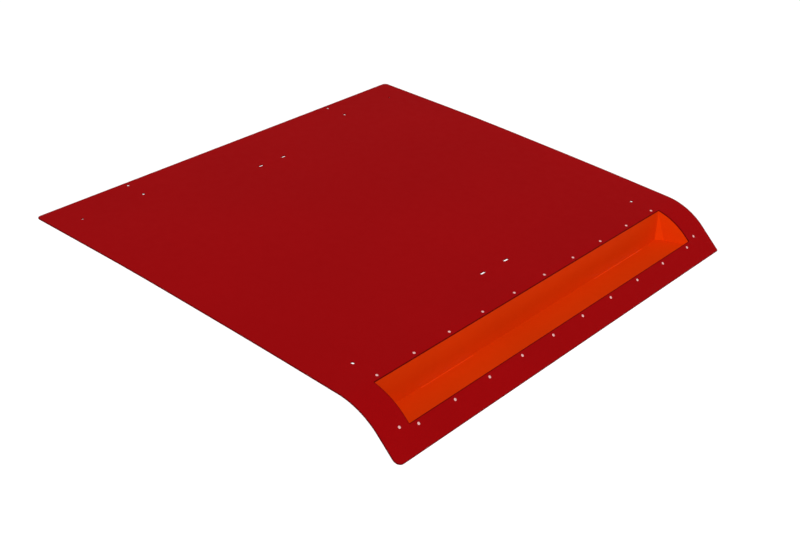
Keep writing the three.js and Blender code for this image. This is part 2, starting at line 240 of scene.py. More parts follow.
def roof_profile(sheet):
    """The roof sheet's top face, from the rear edge to the front lip."""
    gentle_steps, nose_steps = 8, 44
    nose_length = sheet.nose_turn * sheet.nose_radius
    runs = (
        (sheet.rear_flat, 0.0, 1),
        (sheet.rear_bend, sheet.rear_fall, gentle_steps),
        (sheet.main_flat, 0.0, 1),
        (sheet.front_bend, sheet.front_fall, gentle_steps),
        (sheet.front_flat, 0.0, 1),
        (nose_length, sheet.nose_turn, nose_steps),
        (sheet.nose_lip, 0.0, 1),
    )
    heading, u, spot = -sheet.rear_fall, 0.0, Vector((0.0, 0.0))
    lengths, points, headings = [u], [spot.copy()], [heading]
    for run, turn, steps in runs:
        for _ in range(steps):
            step, bend = run / steps, turn / steps
            chord = step * (math.sin(bend / 2) / (bend / 2) if bend else 1.0)
            middle = heading + bend / 2
            spot = spot + Vector((-math.cos(middle), -math.sin(middle))) * chord
            heading, u = heading + bend, u + step
            lengths.append(u)
            points.append(spot.copy())
            headings.append(heading)
    middle = sheet.rear_flat + sheet.rear_bend + sheet.main_flat / 2
    normals = [Vector((-math.sin(h), math.cos(h))) for h in headings]
    profile = SideProfile(lengths, points, normals)
    shift = Vector((0.0, sheet.thickness)) - profile.place(middle)[0]
    profile.points = [p + shift for p in points]
    return profile


def roll_start(sheet):
    return (
        sheet.rear_flat + sheet.rear_bend + sheet.main_flat + sheet.front_bend + sheet.front_flat
    )


def turned(arm, angle):
    """A flat vector turned by an angle."""
    c, s = math.cos(angle), math.sin(angle)
    return Vector((arm.x * c - arm.y * s, arm.x * s + arm.y * c))


def profile_through(corners, radii, steps=8):
    """A profile through a run of corners, each rounded to its radius, with its normals upward."""
    least_turn = math.radians(3)
    points, normals = [], []

    def upward(direction):
        return Vector((direction.y, -direction.x))

    for i, corner in enumerate(corners):
        first, last = i == 0, i == len(corners) - 1
        if first or last:
            near = corners[1] if first else corners[-2]
            way = (near - corner) if first else (corner - near)
            points.append(corner.copy())
            normals.append(upward(way.normalized()))
            continue
        before = (corner - corners[i - 1]).normalized()
        after = (corners[i + 1] - corner).normalized()
        turn = math.atan2(before.cross(after), before.dot(after))
        if radii[i] <= 0 or abs(turn) < least_turn:
            points.append(corner.copy())
            normals.append(upward((before + after).normalized()))
            continue
        back = radii[i] * math.tan(abs(turn) / 2)
        start = corner - before * back
        side = Vector((-before.y, before.x)) * math.copysign(1, turn)
        centre = start + side * radii[i]
        for k in range(steps + 1):
            a = turn * k / steps
            points.append(centre + turned(-side, a) * radii[i])
            normals.append(upward(turned(before, a)))
    lengths = [0.0]
    for a, b in zip(points, points[1:]):
        lengths.append(lengths[-1] + (b - a).length)
    return SideProfile(lengths, points, normals)


# ---- Flat outlines, in (x, developed length) ----------------------------------------------------


def circle_outline(x, u, radius, count=32):
    def at(grow):
        return [
            (
                x + (radius + grow) * math.cos(2 * math.pi * i / count),
                u + (radius + grow) * math.sin(2 * math.pi * i / count),
            )
            for i in range(count)
        ]

    return at


def slot_outline(x, u, slot_length, width, count=12, straight_steps=1):
    reach = slot_length / 2 - width / 2

    def at(grow):
        r = width / 2 + grow
        points = []
        for end in (1, -1):
            for i in range(count + 1):
                a = -math.pi / 2 + math.pi * i / count + (0 if end > 0 else math.pi)
                points.append((x + end * reach + r * math.cos(a), u + r * math.sin(a)))
            for i in range(1, straight_steps):
                t = i / straight_steps
                points.append((x + end * reach * (1 - 2 * t), u + end * r))
        return points

    return at


def rectangle_outline(half_width, low, high, low_radius, high_radii, stations, x_step):
    """A rounded rectangle whose sides carry points at every station and every x_step."""
    columns = max(2, round(2 * half_width / x_step))
    high_left, high_right = high_radii

    def at(grow):
        """grow > 0 moves the outline outward."""
        points = []
        corner_steps = 8
        right_marks = [s for s in stations if low + low_radius < s < high - high_right]
        left_marks = [s for s in stations if low + low_radius < s < high - high_left]

        def corner(cx, cu, radius, start):
            r = radius + grow
            for i in range(corner_steps + 1):
                a = start + (math.pi / 2) * i / corner_steps
                points.append((cx + r * math.cos(a), cu + r * math.sin(a)))

        inner_low = half_width - low_radius
        inner_left, inner_right = half_width - high_left, half_width - high_right
        for i in range(1, columns):
            points.append((-inner_low + 2 * inner_low * i / columns, low - grow))
        corner(inner_low, low + low_radius, low_radius, -math.pi / 2)
        points.extend((half_width + grow, s) for s in right_marks)
        corner(inner_right, high - high_right, high_right, 0.0)
        for i in range(1, columns):
            x = inner_right - (inner_right + inner_left) * i / columns
            points.append((x, high + grow))
        corner(-inner_left, high - high_left, high_left, math.pi / 2)
        points.extend((-half_width - grow, s) for s in reversed(left_marks))
        corner(-inner_low, low + low_radius, low_radius, math.pi)
        return points

    return at


def inside(polygon, x, y):
    hit = False
    j = len(polygon) - 1
    for i, (xi, yi) in enumerate(polygon):
        xj, yj = polygon[j]
        if (yi > y) != (yj > y) and x < (xj - xi) * (y - yi) / (yj - yi) + xi:
            hit = not hit
        j = i
    return hit


# ---- A sheet bent along a profile ---------------------------------------------------------------


def bent_sheet(
    name, profile, outline, holes, thickness, edge_radius, rows, columns, clear, band=0.0
):
    """One closed sheet: a flat pattern with holes and rounded edges, laid along a side profile.

    Every rounded rim carries the edge mark that the finish turns into painted light: painted shade
    on the red sheet, a painted highlight on the orange tray. With a band wider than nothing, the
    faces just inside the rim and beside the first hole carry it too.
    """
    loops = [outline(-edge_radius)] + [hole(edge_radius) for hole in holes]
    flat_points = []
    edges = []
    for loop in loops:
        start = len(flat_points)
        flat_points.extend(loop)
        count = len(loop)
        edges.extend((start + i, start + (i + 1) % count) for i in range(count))
    painted_edge_sources = set(range(len(loops[0]) + len(loops[1]))) if band else set()
    if band:
        for loop in (outline(-edge_radius - band), holes[0](edge_radius + band)):
            start, count = len(flat_points), len(loop)
            flat_points.extend(loop)
            edges.extend((start + i, start + (i + 1) % count) for i in range(count))

    keep_out = [hole(edge_radius + band + clear) for hole in holes]
    border = outline(-edge_radius - band - clear)
    boxes = []
    for k in keep_out:
        xs, us = [p[0] for p in k], [p[1] for p in k]
        boxes.append((min(xs), max(xs), min(us), max(us)))
    for u in rows:
        near = [(box, k) for box, k in zip(boxes, keep_out) if box[2] <= u <= box[3]]
        previous = None
        for x in columns:
            blocked = any(box[0] <= x <= box[1] and inside(k, x, u) for box, k in near)
            if blocked or not inside(border, x, u):
                previous = None
                continue
            flat_points.append((x, u))
            if previous is not None and not any(
                box[0] < x and box[1] > flat_points[previous][0] for box, _ in near
            ):
                edges.append((previous, len(flat_points) - 1))
            previous = len(flat_points) - 1

    found, _, faces, origins, _, _ = delaunay_2d_cdt(
        [Vector(p) for p in flat_points], edges, [], 0, 1e-9, True
    )
    index_of = {}
    for new, sources in enumerate(origins):
        for source in sources:
            index_of[source] = new
    polygons = [[tuple(found[index_of[i]]) for i in range(s, s + n)] for s, n in spans(loops)]
    kept = []
    for face in faces:
        cx = sum(found[i].x for i in face) / len(face)
        cu = sum(found[i].y for i in face) / len(face)
        if not inside(polygons[0], cx, cu) or any(inside(p, cx, cu) for p in polygons[1:]):
            continue
        kept.append(face)

    vertices, normals, painted_edge_marks, mesh_faces = [], [], [], []

    def add(x, u, depth, normal, painted_edge):
        vertices.append(profile.solid(x, u, depth))
        normals.append(normal)
        painted_edge_marks.append(painted_edge)
        return len(vertices) - 1

    def up(u):
        n = profile.place(u)[1]
        return Vector((0.0, n.x, n.y))

    # Points on the outline and the first hole carry the edge mark for painted light; the band loops
    # carry none, so the mark fades across the band.
    painted_edge = [1.0 if painted_edge_sources.intersection(sources) else 0.0 for sources in origins]
    top = [add(p.x, p.y, 0.0, up(p.y), w) for p, w in zip(found, painted_edge)]
    under = [add(p.x, p.y, thickness, -up(p.y), w) for p, w in zip(found, painted_edge)]
    for face in kept:
        mesh_faces.append([top[i] for i in reversed(face)])
        mesh_faces.append([under[i] for i in face])

    arc_steps = 3
    arc = [math.pi / 2 * k / arc_steps for k in range(arc_steps + 1)]
    for number, (shape, (start, count)) in enumerate(zip([outline] + list(holes), spans(loops))):
        outward = 1 if number == 0 else -1
        edge_line = shape(0.0)
        inner_line = shape(-outward * edge_radius)
        rings = []
        for below in (False, True):
            for a in arc if not below else reversed(arc):
                inset = edge_radius * (1 - math.sin(a))
                sink = edge_radius * (1 - math.cos(a))
                depth = thickness - sink if below else sink
                ring = []
                for i in range(count):
                    ex, eu = edge_line[i]
                    ix, iu = inner_line[i]
                    side = Vector((ex - ix, eu - iu))
                    side = side.normalized() if side.length > 0 else Vector((0.0, 0.0))
                    x, u = ex - side.x * inset, eu - side.y * inset
                    if a == 0.0:
                        source = index_of[start + i]
                        ring.append(under[source] if below else top[source])
                        continue
                    along = up(u)
                    forward = Vector((0.0, -along.z, along.y))
                    lateral = Vector((side.x, 0.0, 0.0)) + forward * side.y
                    facing = along * (-math.cos(a) if below else math.cos(a))
                    facing = facing + lateral * math.sin(a)
                    ring.append(add(x, u, depth, facing.normalized(), 1.0))
                rings.append(ring)
        for ring, following in zip(rings, rings[1:]):
            for i in range(count):
                j = (i + 1) % count
                quad = [ring[i], ring[j], following[j], following[i]]
                mesh_faces.append(quad if outward > 0 else quad[::-1])

    mesh = bpy.data.meshes.new(name)
    mesh.from_pydata(vertices, [], mesh_faces)
    settle(mesh, normals, painted_edge_marks)
    obj = bpy.data.objects.new(name, mesh)
    bpy.context.scene.collection.objects.link(obj)
    return obj


def spans(loops):
    """(start, count) of each loop in the list of all their points."""
    start, found = 0, []
    for loop in loops:
        found.append((start, len(loop)))
        start += len(loop)
    return found


def settle(mesh, normals, painted_edge_marks):
    """Drops loose points, turns the faces outward, and keeps the true normals and the edge mark for
    painted light.
    """
    # The "edge" attribute carries the mark that the finish turns into painted shade on the red
    # sheet and a painted highlight on the orange tray.
    attribute = mesh.attributes.new("edge", "FLOAT", "POINT")
    attribute.data.foreach_set("value", painted_edge_marks)
    facing = mesh.attributes.new("facing", "FLOAT_VECTOR", "POINT")
    facing.data.foreach_set("vector", [c for n in normals for c in n])
    work = bmesh.new()
    work.from_mesh(mesh)
    loose = [v for v in work.verts if not v.link_faces]
    bmesh.ops.delete(work, geom=loose, context="VERTS")
    for face in work.faces:
        face.smooth = True
    if work.calc_volume(signed=True) < 0:
        bmesh.ops.reverse_faces(work, faces=work.faces)
    work.to_mesh(mesh)
    work.free()
    kept = [Vector(value.vector) for value in mesh.attributes["facing"].data]
    mesh.attributes.remove(mesh.attributes["facing"])
    mesh.normals_split_custom_set_from_vertices(kept)
    mesh.update()


# ---- Finishes -----------------------------------------------------------------------------------


class NodeSheet:
    """A short hand for wiring a material's nodes."""

    def __init__(self, name):
        self.material = bpy.data.materials.new(name)
        self.material.use_nodes = True
        self.tree = self.material.node_tree
        self.shader = self.tree.nodes["Principled BSDF"]
        self.column = 0

    def node(self, kind, **values):
        made = self.tree.nodes.new(kind)
        self.column += 1
        made.location = (-220 * self.column, 0)
        for key, value in values.items():
            setattr(made, key, value)
        return made

    def wire(self, source, target):
        self.tree.links.new(source, target)
        return target

    def object_space(self, scale=(1, 1, 1)):
        place = self.node("ShaderNodeTexCoord")
        mapping = self.node("ShaderNodeMapping")
        mapping.inputs["Scale"].default_value = scale
        self.wire(place.outputs["Object"], mapping.inputs["Vector"])
        return mapping.outputs["Vector"]

    def noise(self, space, scale, detail=2.0, roughness=0.5):
        made = self.node("ShaderNodeTexNoise")
        made.inputs["Scale"].default_value = scale
        made.inputs["Detail"].default_value = detail
        made.inputs["Roughness"].default_value = roughness
        self.wire(space, made.inputs["Vector"])
        return made.outputs["Fac"]

    def span(self, value, low, high, from_low=0.0, from_high=1.0):
        made = self.node("ShaderNodeMapRange")
        made.inputs["From Min"].default_value = from_low
        made.inputs["From Max"].default_value = from_high
        made.inputs["To Min"].default_value = low
        made.inputs["To Max"].default_value = high
        self.wire(value, made.inputs["Value"])
        return made.outputs["Result"]

    def maths(self, operation, a, b):
        made = self.node("ShaderNodeMath", operation=operation)
        for socket, value in zip(made.inputs, (a, b)):
            if isinstance(value, float):
                socket.default_value = value
            else:
                self.wire(value, socket)
        return made.outputs["Value"]

    def mix(self, factor, a, b):
        made = self.node("ShaderNodeMix", data_type="RGBA")
        for socket, value in zip((made.inputs[0], made.inputs[6], made.inputs[7]), (factor, a, b)):
            if isinstance(value, (float, tuple)):
                socket.default_value = value
            else:
                self.wire(value, socket)
        return made.outputs[2]

    def bump(self, height, strength, distance, under=None):
        made = self.node("ShaderNodeBump")
        made.inputs["Strength"].default_value = strength
        made.inputs["Distance"].default_value = distance
        self.wire(height, made.inputs["Height"])
        if under is not None:
            self.wire(under, made.inputs["Normal"])
        return made.outputs["Normal"]


def shade(rgb, factor):
    return tuple(min(1.0, c * factor) for c in rgb) + (1.0,)


def powder_coat(name, rgb, sheen, painted_edge_light):
    """Baked powder coat: fine orange peel, slow tone drift, faint rubs, and painted light along the
    marked edges: painted shade where the factor is below one, a painted highlight where it is
    above.
    """
    sheet = NodeSheet(name)
    space = sheet.object_space()
    drift = sheet.noise(space, 2.3, 3.0, 0.55)
    mottle = sheet.noise(space, 41.0, 4.0, 0.6)
    speckle = sheet.noise(space, 900.0, 2.0, 0.6)
    tone = sheet.mix(sheet.span(drift, 0.0, 1.0, 0.3, 0.7), shade(rgb, 0.965), shade(rgb, 1.03))
    tone = sheet.mix(sheet.span(mottle, 0.0, 0.35, 0.45, 0.75), tone, shade(rgb, 0.93))
    tone = sheet.mix(sheet.span(speckle, 0.0, 0.5, 0.58, 0.8), tone, shade(rgb, 1.12))

    rub_space = sheet.object_space((3.0, 60.0, 60.0))
    rub = sheet.noise(rub_space, 9.0, 5.0, 0.65)
    rub_mask = sheet.span(rub, 0.0, 1.0, 0.66, 0.78)

    # Painted edge light: the edge mark shifts the colour by the factor. On the red sheet this is a
    # dark line of painted shade; on the orange tray's rims it is a painted highlight.
    edge = sheet.node("ShaderNodeAttribute", attribute_name="edge")
    edge_noise = sheet.noise(space, 160.0, 3.0, 0.6)
    painted_edge_mask = sheet.maths("MULTIPLY", edge.outputs["Fac"], sheet.span(edge_noise, 0.8, 1.0))
    tone = sheet.mix(painted_edge_mask, tone, shade(rgb, painted_edge_light))
    sheet.wire(tone, sheet.shader.inputs["Base Color"])

    rough = sheet.span(mottle, sheen - 0.05, sheen + 0.07)
    rough = sheet.maths("ADD", rough, sheet.span(rub_mask, 0.0, -0.09))
    rough = sheet.maths("ADD", rough, sheet.span(speckle, -0.03, 0.03))
    sheet.wire(rough, sheet.shader.inputs["Roughness"])

    peel = sheet.noise(space, 330.0, 2.0, 0.5)
    waves = sheet.noise(space, 5.0, 1.0, 0.4)
    normal = sheet.bump(waves, 0.25, 0.0006)
    normal = sheet.bump(peel, 0.22, 0.00012, normal)
    normal = sheet.bump(rub, 0.05, 0.00008, normal)
    sheet.wire(normal, sheet.shader.inputs["Normal"])
    sheet.shader.inputs["Specular IOR Level"].default_value = 0.05
    sheet.shader.inputs["Specular Tint"].default_value = shade(tuple(c ** 0.5 for c in rgb), 1.4)
    return sheet.material


def bare_metal(name, rgb, low, high, grain):
    """Bare fastener metal: bright, with small dings and a dull film."""
    sheet = NodeSheet(name)
    space = sheet.object_space()
    film = sheet.noise(space, 420.0, 4.0, 0.6)
    ding = sheet.noise(space, grain, 3.0, 0.55)
    tone = sheet.mix(sheet.span(film, 0.0, 1.0, 0.35, 0.75), shade(rgb, 1.0), shade(rgb, 0.8))
    tone = sheet.mix(sheet.span(ding, 0.0, 0.6, 0.6, 0.8), tone, shade(rgb, 0.62))
    sheet.wire(tone, sheet.shader.inputs["Base Color"])
    sheet.wire(sheet.span(ding, low, high), sheet.shader.inputs["Roughness"])
    normal = sheet.bump(ding, 0.3, 0.00008)
    normal = sheet.bump(film, 0.2, 0.00004, normal)
    sheet.wire(normal, sheet.shader.inputs["Normal"])
    sheet.shader.inputs["Metallic"].default_value = 0.4
    return sheet.material


def studio_paint(name, rgb):
    sheet = NodeSheet(name)
    space = sheet.object_space()
    drift = sheet.noise(space, 0.35, 2.0, 0.5)
    tone = sheet.mix(drift, shade(rgb, 0.995), shade(rgb, 1.005))
    sheet.wire(tone, sheet.shader.inputs["Base Color"])
    sheet.shader.inputs["Roughness"].default_value = 0.95
    sheet.shader.inputs["Specular IOR Level"].default_value = 0.0
    return sheet.material


def finish(slot):
    """The finish of a material slot, made once from the scene's colours."""
    name = f"{slot}_finish"
    if name in bpy.data.materials:
        return bpy.data.materials[name]
    colours = bpy.context.scene.roof_colours
    makers = {
        # The last number is painted edge light: 0.22 paints shade along the red sheet's edges, 1.25
        # paints a highlight on the orange tray's rims.
        "red_powder_coat": lambda: powder_coat(name, colours.red, 0.5, 0.22),
        "orange_powder_coat": lambda: powder_coat(name, colours.orange, 0.5, 1.25),
        # The rivet colour's pink tint is a painted reflection of the red sheet.
        "rivet_aluminium": lambda: bare_metal(name, colours.rivet, 0.42, 0.58, 900.0),
        "pin_steel": lambda: bare_metal(name, colours.pin, 0.35, 0.6, 1500.0),
        "studio_floor": lambda: studio_paint(name, colours.floor),
    }
    return makers[slot]()


def dress(obj, material, body="root"):
    obj.data.materials.clear()
    obj.data.materials.append(finish(material))
    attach(obj, body)
    return obj


# ---- Where the rivets go ------------------------------------------------------------------------


def pocket_rows(scene):
    start = roll_start(scene.roof_sheet) + scene.roof_pocket.past_roll
    return start, start + scene.roof_pocket.length


def rivet_rows(scene):
    """(name, first x, spacing, count, developed length on the roof) for each row."""
    pocket, rivet = scene.roof_pocket, scene.roof_rivets
    start, end = pocket_rows(scene)
    half = pocket.width / 2
    pitch = (pocket.width - 2 * rivet.end_inset) / (rivet.count - 1)
    first = -half + rivet.end_inset
    beside = half + rivet.from_end
    return (
        ("Rear Row", first, pitch, rivet.count, start - rivet.from_rear_edge),
        ("Front Row", first, pitch, rivet.count, end + rivet.from_front_edge),
        ("End Pair", -beside, 2 * beside, 2, end - rivet.behind_front_edge),
    )


def rivet_holes(scene, wanted, place):
    """Rivet holes in the named rows; place turns a row on the roof into the piece's own."""
    radius = scene.roof_rivets.shank_radius + scene.roof_rivets.gap
    holes = []
    for name, first, pitch, count, row in rivet_rows(scene):
        if name in wanted:
            u = place(row)
            holes.extend(circle_outline(first + i * pitch, u, radius, 24) for i in range(count))
    return holes


# ---- Operators: one for each piece or group, and one for the stage ------------------------------


class ROOF_OT_sheet(bpy.types.Operator):
    """Builds the red roof sheet with its rolled nose, cut-out and mounting holes"""

    bl_idname = "roof.build_sheet"
    bl_label = "Roof Sheet"

    def execute(self, context):
        scene = context.scene
        sheet, pocket = scene.roof_sheet, scene.roof_pocket
        profile = roof_profile(sheet)
        start, end = pocket_rows(scene)
        nose = roll_start(sheet)
        extra = [60 * MM, 120 * MM, 180 * MM, nose - 40 * MM, profile.total - 20 * MM]
        rows = sorted(set(profile.lengths[1:-1] + extra))
        count = round(sheet.width / GRID_STEP)
        columns = [-sheet.width / 2 + sheet.width * i / count for i in range(1, count)]
        outline = rectangle_outline(
            sheet.width / 2,
            0.0,
            profile.total,
            sheet.rear_corner,
            (sheet.left_corner, sheet.right_corner),
            rows,
            GRID_STEP,
        )
        square = (CUT_CORNER, CUT_CORNER)
        opening = rectangle_outline(
            pocket.width / 2, start, end, CUT_CORNER, square, rows, GRID_STEP
        )
        holes = [opening] + self.bolt_holes(scene.roof_mounting, sheet.width / 2, start)
        holes += rivet_holes(scene, ("Rear Row", "Front Row", "End Pair"), lambda row: row)
        obj = bent_sheet(
            "roof_sheet",
            profile,
            outline,
            holes,
            sheet.thickness,
            sheet.edge_radius,
            rows,
            columns,
            ROOF_CLEAR,
            sheet.edge_band,
        )
        dress(obj, "red_powder_coat")
        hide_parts("roof_panel")
        return {"FINISHED"}

    def bolt_holes(self, hole, half_width, start):
        """Bolt holes and slots in left and right pairs."""
        rounds = (
            (hole.front_x, start - hole.front_row, hole.bolt_radius),
            (hole.rear_x, hole.rear_row, hole.bolt_radius),
            (hole.second_x, hole.second_row, hole.bolt_radius),
            (half_width - hole.corner_inset, hole.corner_row, hole.corner_radius),
        )
        slots = (
            (hole.front_slot_x, start - hole.front_slot_row, hole.front_slot),
            (hole.rear_slot_x, hole.rear_slot_row, hole.rear_slot),
        )
        holes = []
        for side in SIDES:
            holes.extend(circle_outline(side * x, u, radius) for x, u, radius in rounds)
            holes.extend(slot_outline(side * x, u, run, hole.slot_width) for x, u, run in slots)
        return holes


def tray_profile(scene):
    """The tray's upper face: rear flange, rear wall, floor, front wall and front flange."""
    sheet, pocket, rivet = scene.roof_sheet, scene.roof_pocket, scene.roof_rivets
    roof = roof_profile(sheet)
    start, end = pocket_rows(scene)
    under = sheet.thickness + pocket.gap

    def below(row):
        p = roof.solid(0.0, row, under)
        return Vector((p.y, p.z))

    def flange(low, high):
        steps = 8
        return [below(low + (high - low) * i / steps) for i in range(steps + 1)]

    wall_top_row, front_top_row = start - pocket.reveal, end + pocket.reveal
    rear = flange(start - rivet.from_rear_edge - pocket.flange_margin, wall_top_row)
    front = flange(front_top_row, end + rivet.from_front_edge + pocket.flange_margin)
    cut_edge = roof.place(start)[0]
    wall_top, front_top = rear[-1], front[0]
    fold_z = cut_edge.y - pocket.depth
    lean = math.tan(pocket.wall_lean)
    fold = Vector((wall_top.x - (wall_top.y - fold_z) * lean, fold_z))
    floor_front = front_top - roof.place(front_top_row)[1] * pocket.front_wall
    corners = rear + [fold, floor_front] + front
    inner, outer = pocket.fold_radius, pocket.fold_radius + pocket.thickness
    radii = [0.0] * (len(rear) - 1) + [outer, inner, inner, outer] + [0.0] * (len(front) - 1)
    return profile_through(corners, radii), roof, fold, under


class ROOF_OT_tray(bpy.types.Operator):
    """Builds the orange folded tray with its flanges and drain slits"""

    bl_idname = "roof.build_tray"
    bl_label = "Pocket Tray"

    def execute(self, context):
        scene = context.scene
        pocket = scene.roof_pocket
        profile, roof, fold, under = tray_profile(scene)
        half = pocket.width / 2 + pocket.reveal - pocket.gap

        def own_row(row):
            p = roof.solid(0.0, row, under)
            return profile.nearest(Vector((p.y, p.z)))

        fold_u = profile.nearest(fold)
        count = round(2 * half / TRAY_GRID_STEP)
        columns = [-half + 2 * half * i / count for i in range(1, count)]
        bends = profile.lengths[1:-1]
        rows = list(bends)
        for low, high in zip(bends, bends[1:]):
            extra = int((high - low) / TRAY_GRID_STEP)
            rows.extend(low + (high - low) * i / (extra + 1) for i in range(1, extra + 1))
        rows.sort()
        front_corners = (TRAY_CORNER, TRAY_CORNER)
        outline = rectangle_outline(
            half, 0.0, profile.total, TRAY_CORNER, front_corners, rows, TRAY_GRID_STEP
        )
        holes = rivet_holes(scene, ("Rear Row", "Front Row"), own_row)
        slit_u = fold_u + pocket.slit_from_fold + 0.4 * pocket.fold_radius
        slits = (
            (pocket.left_slit, pocket.left_slit_inset),
            (pocket.right_slit, pocket.right_slit_inset),
        )
        for side, (slit, inset) in zip(SIDES, slits):
            x = side * (pocket.width / 2 - inset - slit / 2)
            holes.append(slot_outline(x, slit_u, slit, pocket.slit_width, 8, 10))
        obj = bent_sheet(
            "light_bar_tray",
            profile,
            outline,
            holes,
            pocket.thickness,
            TRAY_EDGE_RADIUS,
            rows,
            columns,
            TRAY_CLEAR,
        )
        dress(obj, "orange_powder_coat")
        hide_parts("pocket_tray")
        return {"FINISHED"}


class ROOF_OT_end_plates(bpy.types.Operator):
    """Finishes the two orange end plates that close the pocket"""

    bl_idname = "roof.finish_end_plates"
    bl_label = "Pocket End Plates"

    def execute(self, context):
        for name in ("pocket_end_left", "pocket_end_right"):
            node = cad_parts[name]
            node.data.materials.clear()
            node.data.materials.append(finish("orange_powder_coat"))
        return {"FINISHED"}


# ---- Rivets and pins: geometry nodes ------------------------------------------------------------


def turned_shape(name, outline, segments):
    """A closed body turned about Z from (radius, height) pairs, as a sample for the node tree."""
    work = bmesh.new()
    rings = []
    for radius, height in outline:
        if radius <= 0:
            rings.append([work.verts.new((0.0, 0.0, height))])
            continue
        ring = []
        for i in range(segments):
            a = 2 * math.pi * i / segments
            ring.append(work.verts.new((radius * math.cos(a), radius * math.sin(a), height)))
        rings.append(ring)
    ringed = outline[0][0] > 0
    for low, high in zip(rings, rings[1:] + (rings[:1] if ringed else [])):
        for i in range(segments):
            j = (i + 1) % segments
            if len(low) == 1:
                work.faces.new((low[0], high[j], high[i]))
            elif len(high) == 1:
                work.faces.new((low[i], low[j], high[0]))
            else:
                work.faces.new((low[i], low[j], high[j], high[i]))
    bmesh.ops.recalc_face_normals(work, faces=work.faces)
    for face in work.faces:
        face.smooth = True
    mesh = bpy.data.meshes.new(name)
    work.to_mesh(mesh)
    work.free()
    obj = bpy.data.objects.new(name, mesh)
    bpy.context.scene.collection.objects.link(obj)
    return obj


def rivet_row_tree(name, rows):
    """A node tree that sets one fastener at each place of three rows and gives it its finish."""
    tree = bpy.data.node_groups.new(name, "GeometryNodeTree")
    sockets = tree.interface

    def socket(label, kind, default=None):
        made = sockets.new_socket(name=label, in_out="INPUT", socket_type=kind)
        if default is not None:
            made.default_value = default

    socket("Fastener", "NodeSocketObject")
    socket("Finish", "NodeSocketMaterial")
    socket("Seed", "NodeSocketInt", 7)
    for row, *_ in rows:
        socket(f"{row} Count", "NodeSocketInt", 2)
        socket(f"{row} Start", "NodeSocketVector")
        socket(f"{row} Pitch", "NodeSocketFloat", 0.1)
        socket(f"{row} Tilt", "NodeSocketFloat", 0.0)
    sockets.new_socket(name="Geometry", in_out="OUTPUT", socket_type="NodeSocketGeometry")

    def wire(source, output, target, entry):
        tree.links.new(source.outputs[output], target.inputs[entry])

    new = tree.nodes.new
    given, result = new("NodeGroupInput"), new("NodeGroupOutput")
    info = new("GeometryNodeObjectInfo")
    wire(given, "Fastener", info, "Object")
    join = new("GeometryNodeJoinGeometry")
    for row, *_ in rows:
        line, offset = new("GeometryNodeMeshLine"), new("ShaderNodeCombineXYZ")
        wire(given, f"{row} Count", line, "Count")
        wire(given, f"{row} Start", line, "Start Location")
        wire(given, f"{row} Pitch", offset, "X")
        wire(offset, "Vector", line, "Offset")
        spin = new("FunctionNodeRandomValue")
        spin.data_type = "FLOAT"
        low, high = [s for s in spin.inputs if s.type == "VALUE" and s.enabled]
        low.default_value, high.default_value = 0.0, 2 * math.pi
        wire(given, "Seed", spin, "Seed")
        lean, turn = new("ShaderNodeCombineXYZ"), new("ShaderNodeCombineXYZ")
        wire(given, f"{row} Tilt", lean, "X")
        tree.links.new([s for s in spin.outputs if s.enabled][0], turn.inputs["Z"])
        place = new("GeometryNodeInstanceOnPoints")
        wire(line, "Mesh", place, "Points")
        wire(info, "Geometry", place, "Instance")
        wire(lean, "Vector", place, "Rotation")
        own_axis = new("GeometryNodeRotateInstances")
        own_axis.inputs["Local Space"].default_value = True
        wire(place, "Instances", own_axis, "Instances")
        wire(turn, "Vector", own_axis, "Rotation")
        wire(own_axis, "Instances", join, "Geometry")
    realize, paint = new("GeometryNodeRealizeInstances"), new("GeometryNodeSetMaterial")
    wire(join, "Geometry", realize, "Geometry")
    wire(realize, "Geometry", paint, "Geometry")
    wire(given, "Finish", paint, "Material")
    wire(paint, "Geometry", result, "Geometry")
    return tree


def set_rows(scene, name, sample, material, stands_for):
    """Runs the node tree for one kind of fastener and keeps its result as a plain mesh."""
    rows = rivet_rows(scene)
    roof = roof_profile(scene.roof_sheet)
    tree = rivet_row_tree(f"{name} rows", rows)
    holder = bpy.data.objects.new(f"{name}_maker", bpy.data.meshes.new(f"{name}_maker"))
    scene.collection.objects.link(holder)
    modifier = holder.modifiers.new("Rows", "NODES")
    modifier.node_group = tree
    inputs = {i.name: i.identifier for i in tree.interface.items_tree if i.in_out == "INPUT"}
    modifier[inputs["Fastener"]] = sample
    modifier[inputs["Finish"]] = finish(material)
    for row, first, pitch, count, u in rows:
        point, normal = roof.place(u)
        modifier[inputs[f"{row} Count"]] = count
        modifier[inputs[f"{row} Start"]] = (first, point.x, point.y)
        modifier[inputs[f"{row} Pitch"]] = pitch
        modifier[inputs[f"{row} Tilt"]] = math.atan2(-normal.x, normal.y)
    depsgraph = bpy.context.evaluated_depsgraph_get()
    depsgraph.update()
    mesh = bpy.data.meshes.new_from_object(holder.evaluated_get(depsgraph))
    mesh.name = name
    made = bpy.data.objects.new(name, mesh)
    scene.collection.objects.link(made)
    for spent in (holder, sample):
        bpy.data.objects.remove(spent)
    if not mesh.polygons:
        raise RuntimeError(f"{name}: the node tree made nothing")
    dress(made, material)
    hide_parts(*stands_for)
    return made


def stack_depth(scene):
    return scene.roof_sheet.thickness + scene.roof_pocket.gap + scene.roof_pocket.thickness


def named_nodes(prefix):
    return [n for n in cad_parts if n.startswith(prefix)]


